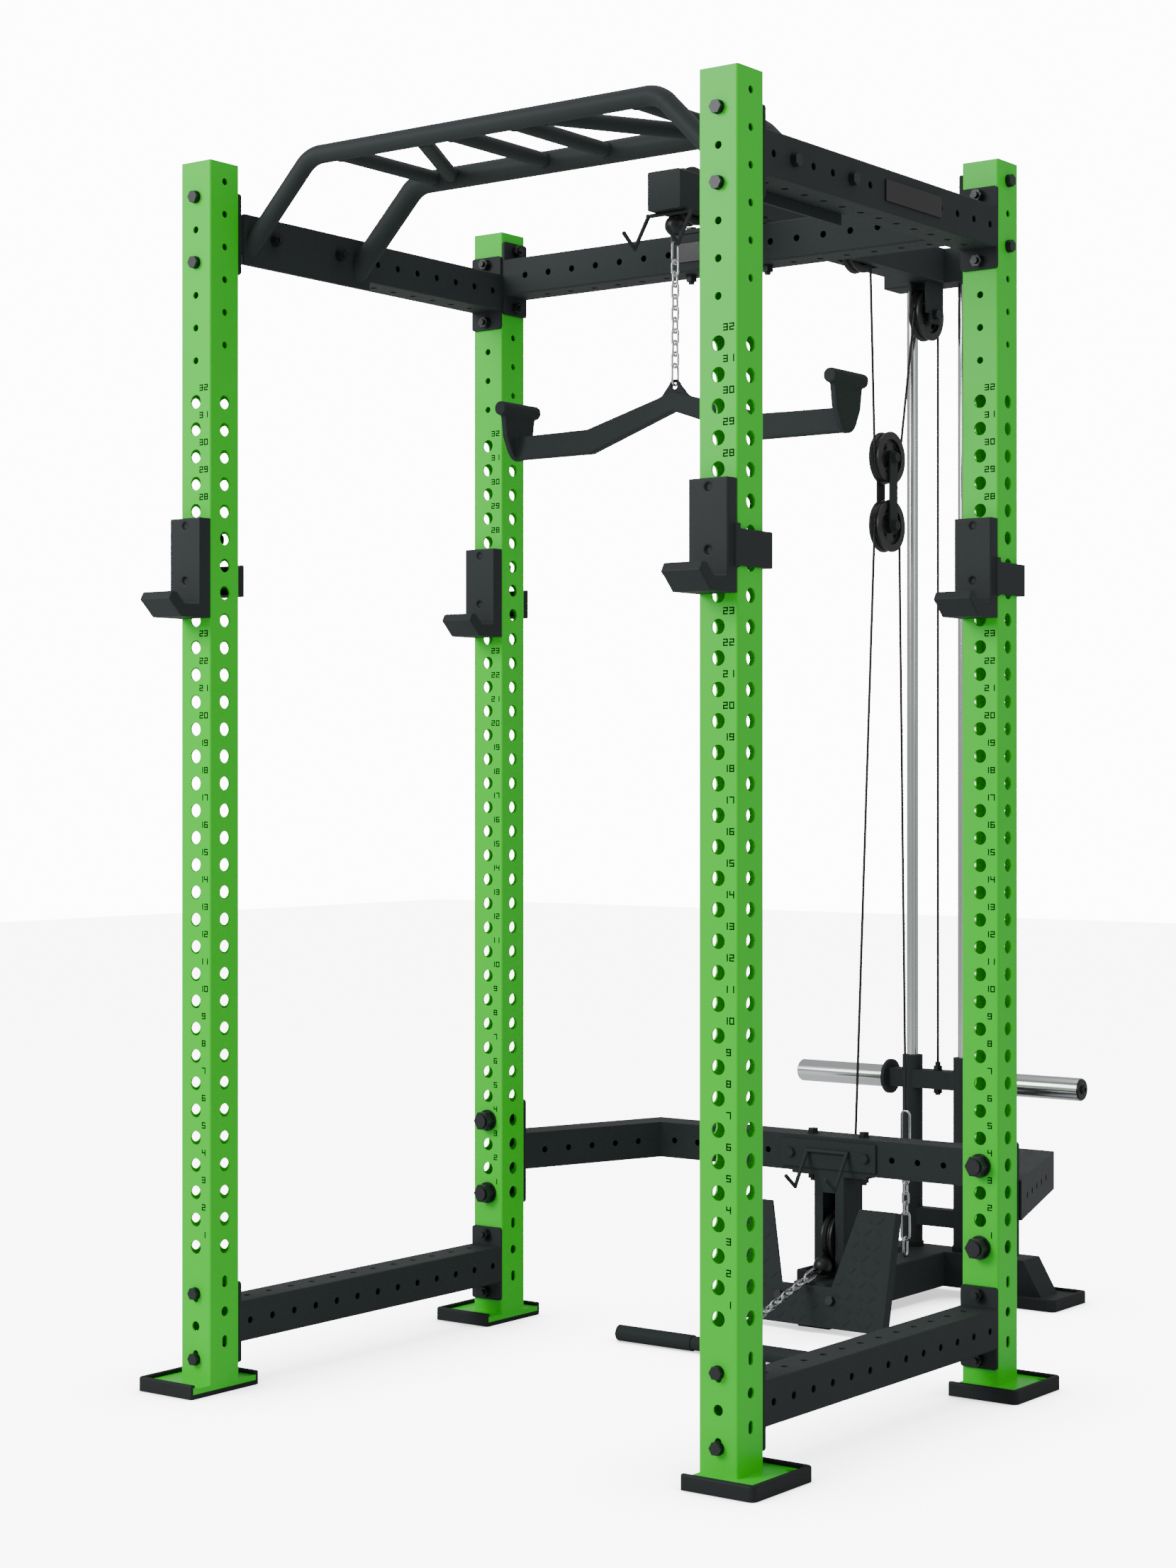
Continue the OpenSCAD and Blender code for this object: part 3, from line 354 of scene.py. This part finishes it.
def lug_field():
    """Centres and turns of the lugs on the plate's outline, left clear of its edges and its notch."""
    i, j = np.meshgrid(np.arange(-7, 8), np.arange(0, 10), indexing="ij")
    x, t = i.ravel() * lug_pitch, lug_start + j.ravel() * lug_pitch
    widening = (notch_top_x - notch_low_x) / (plate_len - notch_floor)
    notch = np.where(t < notch_floor, -1, notch_low_x + (t - notch_floor) * widening)
    keep = (abs(x) < lug_side_limit) & (t < lug_top_limit) & (abs(x) > notch + notch_margin)
    keep &= ~((abs(abs(x) - bolt_x) < bolt_room) & (abs(t - bolt_up) < bolt_room))
    hand = np.where((i.ravel() + j.ravel())[keep] % 2 == 0, 1, -1)
    return x[keep], t[keep], hand * math.radians(45)


def lugs(name):
    """Lens-shaped lugs: a grid over length and width, with height falling off to a pointed, rounded edge."""
    x, t, turn = lug_field()
    a, b = np.meshgrid(np.linspace(-1, 1, 9), np.linspace(-1, 1, 5), indexing="ij")
    along = lug_half * a
    across = lug_half_w * b * (1 - a ** 2) ** 0.6
    height = lug_h * (1 - a ** 2) ** 0.5 * (1 - b ** 2) - 0.0001
    local_x = along[None] * np.cos(turn)[:, None, None] - across[None] * np.sin(turn)[:, None, None]
    local_t = along[None] * np.sin(turn)[:, None, None] + across[None] * np.cos(turn)[:, None, None]
    px, pt = x[:, None, None] + local_x, t[:, None, None] + local_t
    points = (tread_foot + px[..., None] * np.array([1.0, 0, 0]) + pt[..., None] * tread_up
              + np.broadcast_to(height, px.shape)[..., None] * tread_out).reshape(-1, 3)
    patch = quads(*a.shape)
    faces = (patch[None] + a.size * np.arange(len(x))[:, None, None]).reshape(-1, 4)
    piece = add_mesh(name, points, faces)
    piece.data.materials.append(charcoal)
    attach(piece, "root")


lugs("footplate_lugs")

# ---- Bolts and nuts ------------------------------------------------------------------------------
# Black-oxide steel hex bolts, smoother and slightly shinier than the coat beside them.
oxide = coated("black_oxide", (0.016, 0.017, 0.019), (0.026, 0.028, 0.031), 0.36, 700.0, 0.00003,
               metallic=0.3)
finish(oxide, "frame_bolts", "frame_nuts", "stabiliser_bolts", "pull_up_bolts", "lat_arm_bolts",
       "pulley_axles", "column_bolts", "carriage_eye_bolt")

# ---- Rubber, nylon and grip coat -----------------------------------------------------------------
# Moulded rubber trays and bumpers, nylon pulleys and balls, and the soft textured coat of the handles.
rubber = coated("moulded_rubber", (0.014, 0.016, 0.017), (0.021, 0.024, 0.026), 0.60, 900.0, 0.00008,
                sheen=0.2)
finish(rubber, "upright_rubber_feet", "base_rubber_feet", "rod_bumpers")
nylon = coated("moulded_nylon", (0.010, 0.010, 0.011), (0.018, 0.018, 0.020), 0.38, 500.0, 0.00004)
finish(nylon, "lat_ball", "row_ball", "blank_badge_plates",
       *[name for name in nodes_named("pulley_") if name != "pulley_axles"])
soft_grip = coated("soft_grip", (0.0240, 0.0290, 0.0300), (0.0310, 0.0370, 0.0385), 0.62, 1100.0, 0.00025,
                   sheen=0.12)
finish(soft_grip, "lat_bar", "row_bar", "row_grips")
cup_coat = coated("cup_coat", (0.0240, 0.0285, 0.0305), (0.0300, 0.0355, 0.0375), 0.55, 1100.0, 0.00009,
                  sheen=0.14)
finish(cup_coat, *nodes_named("cup_"))


def softened(node, name, voxel, rounds, material, body):
    """A dipped or moulded copy of a CAD node: its skin is sampled on an even grid, then relaxed, so
    that every edge is round."""
    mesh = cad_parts[node].data.copy()
    shape = bmesh.new()
    shape.from_mesh(mesh)
    bmesh.ops.remove_doubles(shape, verts=shape.verts, dist=0.00001)
    shape.to_mesh(mesh)
    shape.free()
    piece = bpy.data.objects.new(name, mesh)
    bpy.context.collection.objects.link(piece)
    grid = piece.modifiers.new("skin", "REMESH")
    grid.mode = "VOXEL"
    grid.voxel_size = voxel
    relax = piece.modifiers.new("relax", "SMOOTH")
    relax.iterations = rounds
    ready = piece.evaluated_get(bpy.context.evaluated_depsgraph_get())
    done = bpy.data.meshes.new_from_object(ready)
    piece.modifiers.clear()
    piece.data = done
    done.materials.clear()
    done.materials.append(material)
    done.shade_smooth()
    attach(piece, body)
    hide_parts(node)


softened("lat_bar", "lat_bar_coated", 0.0022, 5, soft_grip, "lat_handle")
for cup in nodes_named("cup_"):
    softened(cup, cup + "_moulded", 0.0018, 2, cup_coat, cup + "_body")

# Each tray is a moulded sheet with a wall on three sides, whose rim laps over the plate's edge.
tray_profile = np.array([
    (0.0000, 0.0008), (0.0000, 0.0235), (0.0008, 0.0255), (0.0025, 0.0265), (0.0080, 0.0265),
    (0.0097, 0.0257), (0.0104, 0.0240), (0.0104, 0.0218), (0.0058, 0.0214), (0.0058, 0.0004)])
tray_corner_r, tray_wall_t, sheet_top = 0.011, 0.0058, 0.009


def tray_wall(x_in, x_out, y_mid, half_depth):
    """The profile carried round three sides with two rounded corners, plus end caps: (points, faces)."""
    sign = 1 if x_out > x_in else -1
    arc = np.linspace(0, math.pi / 2, 9)
    reach = abs(x_out - x_in)
    bend_out = np.stack([reach - tray_corner_r + tray_corner_r * np.sin(arc),
                         -half_depth + tray_corner_r - tray_corner_r * np.cos(arc)], -1)
    heading = np.stack([np.sin(arc), -np.cos(arc)], -1)
    line = np.concatenate([[[0, -half_depth]], bend_out, (bend_out * [1, -1])[::-1], [[0, half_depth]]])
    out = np.concatenate([[[0, -1]], heading, (heading * [1, -1])[::-1], [[0, 1]]])
    inset, height = tray_profile.T
    xy = line[:, None] - inset[None, :, None] * out[:, None]
    z = np.broadcast_to(height, xy.shape[:2])
    points = np.concatenate([xy, z[..., None]], -1).reshape(-1, 3) * [sign, 1, 1] + [x_in, y_mid, 0]
    count = len(tray_profile)
    faces = quads(len(line), count, closed_columns=True)[:, ::-1].tolist()
    faces += [list(range(count))[::-1], list(range(len(points) - count, len(points)))]
    return points, [f[::-1] for f in faces] if sign > 0 else faces


def slab(low, high):
    """A plain box: (points, faces)."""
    corners = np.array([[x, y, z] for x in (low[0], high[0]) for y in (low[1], high[1])
                        for z in (low[2], high[2])])
    return corners, [[0, 1, 3, 2], [4, 6, 7, 5], [0, 4, 5, 1], [2, 3, 7, 6], [0, 2, 6, 4], [1, 5, 7, 3]]


def trays(name, node, places, extra):
    """All of one node's trays in one mesh: walls and the sheet under each plate."""
    parts = list(extra)
    for x_in, x_out, y_mid, half_depth in places:
        parts.append(tray_wall(x_in, x_out, y_mid, half_depth))
        x_low, x_high = sorted((x_in, x_out - math.copysign(tray_wall_t, x_out)))
        half_sheet = half_depth - tray_wall_t
        parts.append(slab((x_low, y_mid - half_sheet, 0), (x_high, y_mid + half_sheet, sheet_top)))
    points, faces, used = [], [], 0
    for part_points, part_faces in parts:
        points.append(part_points)
        faces += [[used + i for i in face] for face in part_faces]
        used += len(part_points)
    piece = add_mesh(name, np.concatenate(points), faces, smooth=False)
    piece.data.materials.append(rubber)
    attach(piece, "root")
    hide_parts(node)


tray_low, tray_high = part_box("upright_rubber_feet")
tray_reach, tray_half = 0.1385, 0.088
trays("upright_trays", "upright_rubber_feet", [
    (sign * (tray_high[0] - tray_reach), sign * tray_high[0], y_mid, tray_half)
    for sign in (1, -1) for y_mid in (tray_low[1] + tray_half, tray_high[1] - tray_half)], [])
foot_low, foot_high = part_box("base_rubber_feet")
foot_reach, foot_half, pad_len, pad_h = 0.138, 0.077, 0.070, 0.021
trays("base_trays", "base_rubber_feet", [
    (sign * (foot_high[0] - foot_reach), sign * foot_high[0], foot_high[1] - foot_half, foot_half)
    for sign in (1, -1)], [slab((-half_tube, foot_low[1], 0), (half_tube, foot_low[1] + pad_len, pad_h))])

# ---- Chrome --------------------------------------------------------------------------------------
# Guide rods and weight horns are hard-chromed bar with faint polishing lines round them.
chrome = coated("hard_chrome", (0.62, 0.63, 0.65), (0.72, 0.73, 0.75), 0.16, 300.0, 0.000006, metallic=1.0,
                spread=0.05)
finish(chrome, "guide_rods", "weight_horns")


def turned(name, centre, sign, profile, material, body, sides=40):
    """A turned piece about the X axis: each (reach, radius) pair of the profile becomes a ring."""
    reach, radius = np.array(profile).T
    turn = np.linspace(0, 2 * np.pi, sides, endpoint=False)
    points = np.stack(np.broadcast_arrays(
        centre[0] + sign * reach[:, None],
        centre[1] + radius[:, None] * np.cos(turn),
        centre[2] + radius[:, None] * np.sin(turn)), -1)
    faces = quads(len(reach), sides, closed_columns=True)
    piece = add_mesh(name, points.reshape(-1, 3), faces if sign < 0 else faces[:, ::-1], smooth=False)
    piece.data.materials.append(material)
    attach(piece, body)


# Each horn's open end carries a black retaining disc under a button-head bolt.
horn_low, horn_high = map(np.array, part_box("weight_horns"))
cap_profile = [(-0.0010, 0.0225), (0.0030, 0.0225), (0.0038, 0.0215), (0.0038, 0.0100), (0.0075, 0.0095),
               (0.0092, 0.0078), (0.0098, 0.0050), (0.0072, 0.0044), (0.0072, 0.0002)]
for sign, side_name in ((1, "right"), (-1, "left")):
    horn_end = np.array([sign * horn_high[0], *((horn_low + horn_high) / 2)[1:]])
    turned("horn_cap_" + side_name, horn_end, sign, cap_profile, oxide, "carriage")

# ---- Chains --------------------------------------------------------------------------------------
# Bright zinc wire bent into long links, with a snap hook above and a lower hook, each chain hanging
# from its ball's eye. Every link is a round wire carried along a stadium-shaped loop.
zinc = coated("bright_zinc", (0.50, 0.51, 0.53), (0.74, 0.75, 0.77), 0.22, 260.0, 0.00002, metallic=1.0)
wire_r = 0.0025
link_pitch, link_play, link_half_w = 0.022, 0.0017, 0.0045
snap_len, hook_len, hook_half_w, eye_len = 0.038, 0.036, 0.007, 0.016
ball_r, eye_set_in = 0.020, 0.002


def loop_surface(length, half_width, around=28, sides=10):
    """A closed wire loop in the XZ plane whose hole reaches from Z = 0 down to -length: a circle carried
    round two half circles joined by straights."""
    radius = half_width + wire_r
    straight = max(length + 2 * wire_r - 2 * radius, 0) / 2
    turn = np.linspace(0, 2 * np.pi, around, endpoint=False) + np.pi / around
    middle = np.stack([radius * np.cos(turn), radius * np.sin(turn) + straight * np.sign(np.sin(turn))], -1)
    outward = np.stack([np.cos(turn), np.sin(turn)], -1)
    ring = np.linspace(0, 2 * np.pi, sides, endpoint=False)
    plane = middle[:, None] + wire_r * np.cos(ring)[None, :, None] * outward[:, None]
    depth = np.broadcast_to(wire_r * np.sin(ring), plane.shape[:2])
    points = np.stack([plane[..., 0], depth, plane[..., 1] - length / 2], -1).reshape(-1, 3)
    return points, quads(around, sides, True, True)[:, ::-1]


def hang(loops, name, material, start, direction):
    """Strings loops one below another from start. Each is (length, half width, quarter turns, drop)."""
    down = np.array(direction, float) / np.linalg.norm(direction)
    across = np.array([1.0, 0, 0])
    third = np.cross(-down, across)
    all_points, all_faces, used = [], [], 0
    for length, half_width, quarter, drop in loops:
        points, faces = loop_surface(length, half_width)
        if quarter % 2:
            points = points[:, [1, 0, 2]] * np.array([1, -1, 1])
        world_points = (np.array(start) + points[:, :1] * across + points[:, 1:2] * third
                        + (points[:, 2:] - drop) * -down)
        all_points.append(world_points)
        all_faces.append(faces + used)
        used += len(points)
    piece = add_mesh(name, np.concatenate(all_points), np.concatenate(all_faces))
    piece.data.materials.append(material)
    return piece


def ball_chain_loops(count):
    """Snap hook, chain links and lower hook below a ball, as lengths, widths and drops from its centre."""
    snap_drop = ball_r - eye_set_in + eye_len - link_play
    chain_drop = snap_drop + snap_len - link_play
    loops = [(snap_len, hook_half_w, 1, snap_drop)]
    loops += [(link_pitch + link_play, link_half_w, k % 2, chain_drop + k * link_pitch)
              for k in range(count)]
    loops.append((hook_len, hook_half_w, 1, chain_drop + count * link_pitch))
    return loops


def middle_of(node):
    """Centre of a CAD node's box."""
    low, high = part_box(node)
    return (np.array(low) + np.array(high)) / 2


lat_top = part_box("lat_ball")[1][2]
lat_centre = np.array([0, middle_of("lat_ball")[1], lat_top - ball_r])
lat_chain = hang(ball_chain_loops(9), "lat_chain_links", zinc, lat_centre, (0, 0, -1))
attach(lat_chain, "lat_handle")
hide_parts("lat_chain")

row_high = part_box("row_ball")[1]
row_centre = np.array([0, row_high[1] - ball_r, row_high[2] - ball_r])
row_bar_middle = middle_of("row_grips")
row_chain = hang(ball_chain_loops(12), "row_chain_links", zinc, row_centre, row_bar_middle - row_centre)
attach(row_chain, "row_handle")
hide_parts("row_chain")

anchor_low, anchor_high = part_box("anchor_chain")
anchor_top = np.array([0, (anchor_low[1] + anchor_high[1]) / 2, anchor_high[2] - 2 * wire_r])
anchor_snap, anchor_links, anchor_half_w, anchor_hook = 0.066, 7, 0.008, hook_len + 0.020
base_eye_half_w, base_eye_room = 0.006, wire_r * 1.6
chain_from = anchor_snap - link_play
anchor_loops = [(anchor_snap, anchor_half_w, 0, 0.0)]
anchor_loops += [(link_pitch + link_play, link_half_w, (k + 1) % 2, chain_from + k * link_pitch)
                 for k in range(anchor_links)]
hook_from = chain_from + anchor_links * link_pitch
anchor_loops.append((anchor_hook, anchor_half_w, 0, hook_from))
eye_from = hook_from + anchor_hook - link_play
base_eye_len = anchor_top[2] - eye_from - anchor_low[2] - base_eye_room
anchor_loops.append((base_eye_len, base_eye_half_w, 1, eye_from))
anchor_chain = hang(anchor_loops, "anchor_chain_links", zinc, anchor_top, (0, 0, -1))
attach(anchor_chain, "root")
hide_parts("anchor_chain")

# ---- Cable ---------------------------------------------------------------------------------------
# One black-sheathed steel cable. It rises from the lat ball over the arm, loops under the floating
# block and over the tower pulley to the carriage; the second runs from the low ball to the anchor.
sheath = coated("cable_sheath", (0.006, 0.006, 0.007), (0.012, 0.012, 0.013), 0.34, 1200.0, 0.00003)
cable_r, run_r = 0.00275, 0.051
end_lap = 0.001


def wheel(node):
    """Centre (y, z) of a pulley."""
    return middle_of(node)[1:]


def run_angle(c1, s1, c2, s2):
    """Heading of the straight that touches two equal wheels on the sides s1 and s2."""
    d = np.array(c2) - np.array(c1)
    return math.atan2(d[1], d[0]) - math.asin((s1 - s2) * run_r / math.hypot(*d))


def touch(c, s, a):
    """Where a run of heading a touches a wheel on side s."""
    return np.array(c) + s * run_r * np.array([-math.sin(a), math.cos(a)])


def straight(p, q, rings=26):
    """Evenly spaced points from p to q in the YZ plane."""
    t = np.linspace(0, 1, rings)[:, None]
    return (1 - t) * np.array(p) + t * np.array(q)


def bend(c, start, end, rings=26):
    """Points round a wheel between two polar angles."""
    a = np.linspace(start, end, rings)
    return np.array(c) + run_r * np.stack([np.cos(a), np.sin(a)], -1)


def cable_piece(name, route, sides=12):
    """A round tube along a route in the YZ plane, with closed ends: each ring lies across the route."""
    along = np.gradient(route, axis=0)
    along /= np.linalg.norm(along, axis=1, keepdims=True)
    normal = np.stack([-along[:, 1], along[:, 0]], -1)
    turn = np.linspace(0, 2 * np.pi, sides, endpoint=False)
    yz = route[:, None] + cable_r * np.sin(turn)[None, :, None] * normal[:, None]
    x = np.broadcast_to(cable_r * np.cos(turn), yz.shape[:2])
    points = np.concatenate([x[..., None], yz], -1).reshape(-1, 3)
    faces = quads(len(route), sides, closed_columns=True).tolist()
    faces += [list(range(sides)), list(range(len(points) - 1, len(points) - sides - 1, -1))]
    piece = add_mesh(name, points, faces)
    piece.data.materials.append(sheath)
    return piece


def stretching(name, p, q):
    """A straight run from p to q, with its placement baked into the mesh."""
    piece = cable_piece(name, straight(p, q, 40))
    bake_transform(piece)
    return piece


front_wheel, rear_wheel = wheel("pulley_arm_front"), wheel("pulley_arm_rear")
upper_wheel, lower_wheel = wheel("pulley_block_upper"), wheel("pulley_block_lower")
tower_wheel, low_wheel = wheel("pulley_tower"), wheel("pulley_low")
over = run_angle(front_wheel, 1, rear_wheel, 1)
down = run_angle(rear_wheel, 1, upper_wheel, -1)
up = run_angle(upper_wheel, -1, tower_wheel, 1)
rise = run_angle(low_wheel, -1, lower_wheel, 1)
anchor = np.array([anchor_top[1], anchor_high[2]])
to_anchor = anchor - lower_wheel
fall = math.atan2(to_anchor[1], to_anchor[0]) - math.asin(run_r / math.hypot(*to_anchor))
quarter = math.pi / 2

over_arm = cable_piece("cable_over_arm_line", np.concatenate([
    bend(front_wheel, math.pi, quarter + over)[:-1],
    straight(touch(front_wheel, 1, over), touch(rear_wheel, 1, over)),
    bend(rear_wheel, quarter + over, quarter + down)[1:]]))
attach(over_arm, "root")
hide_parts("cable_over_arm")
lat_drop = stretching("cable_lat_drop_line", (front_wheel[0] - run_r, front_wheel[1]),
                      (front_wheel[0] - run_r, lat_top - end_lap))
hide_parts("cable_lat_drop")
block_in = stretching("cable_to_block_line", touch(rear_wheel, 1, down), touch(upper_wheel, -1, down))
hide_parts("cable_block_run")
block_wrap = cable_piece("cable_under_block_line", bend(upper_wheel, down - quarter, up - quarter ))
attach(block_wrap, "block")
stretching("cable_from_block_line", touch(tower_wheel, 1, up), touch(upper_wheel, -1, up))
tower_wrap = cable_piece("cable_over_tower_line", bend(tower_wheel, up + quarter, 0))
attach(tower_wrap, "root")
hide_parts("cable_over_tower")
eye_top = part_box("carriage_eye_bolt")[1][2]
carriage_run = stretching("cable_to_carriage_line", (tower_wheel[0] + run_r, tower_wheel[1]),
                          (tower_wheel[0] + run_r, eye_top - end_lap))
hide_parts("cable_to_carriage")
low_rise = stretching("cable_low_rise_line", touch(low_wheel, -1, rise), touch(lower_wheel, 1, rise))
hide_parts("cable_low_loop")
low_wrap = cable_piece("cable_over_block_line", bend(lower_wheel, rise + quarter, fall + quarter))
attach(low_wrap, "block")
stretching("cable_to_anchor_line", anchor, touch(lower_wheel, 1, fall))
low_turn = cable_piece("cable_under_pulley_line", bend(low_wheel, -quarter, rise - quarter))
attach(low_turn, "root")
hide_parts("cable_under_pulley")
row_run = stretching("cable_row_run_line", (low_wheel[0], low_wheel[1] - run_r),
                     (row_centre[1] + ball_r - end_lap, low_wheel[1] - run_r))
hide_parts("cable_row_run")
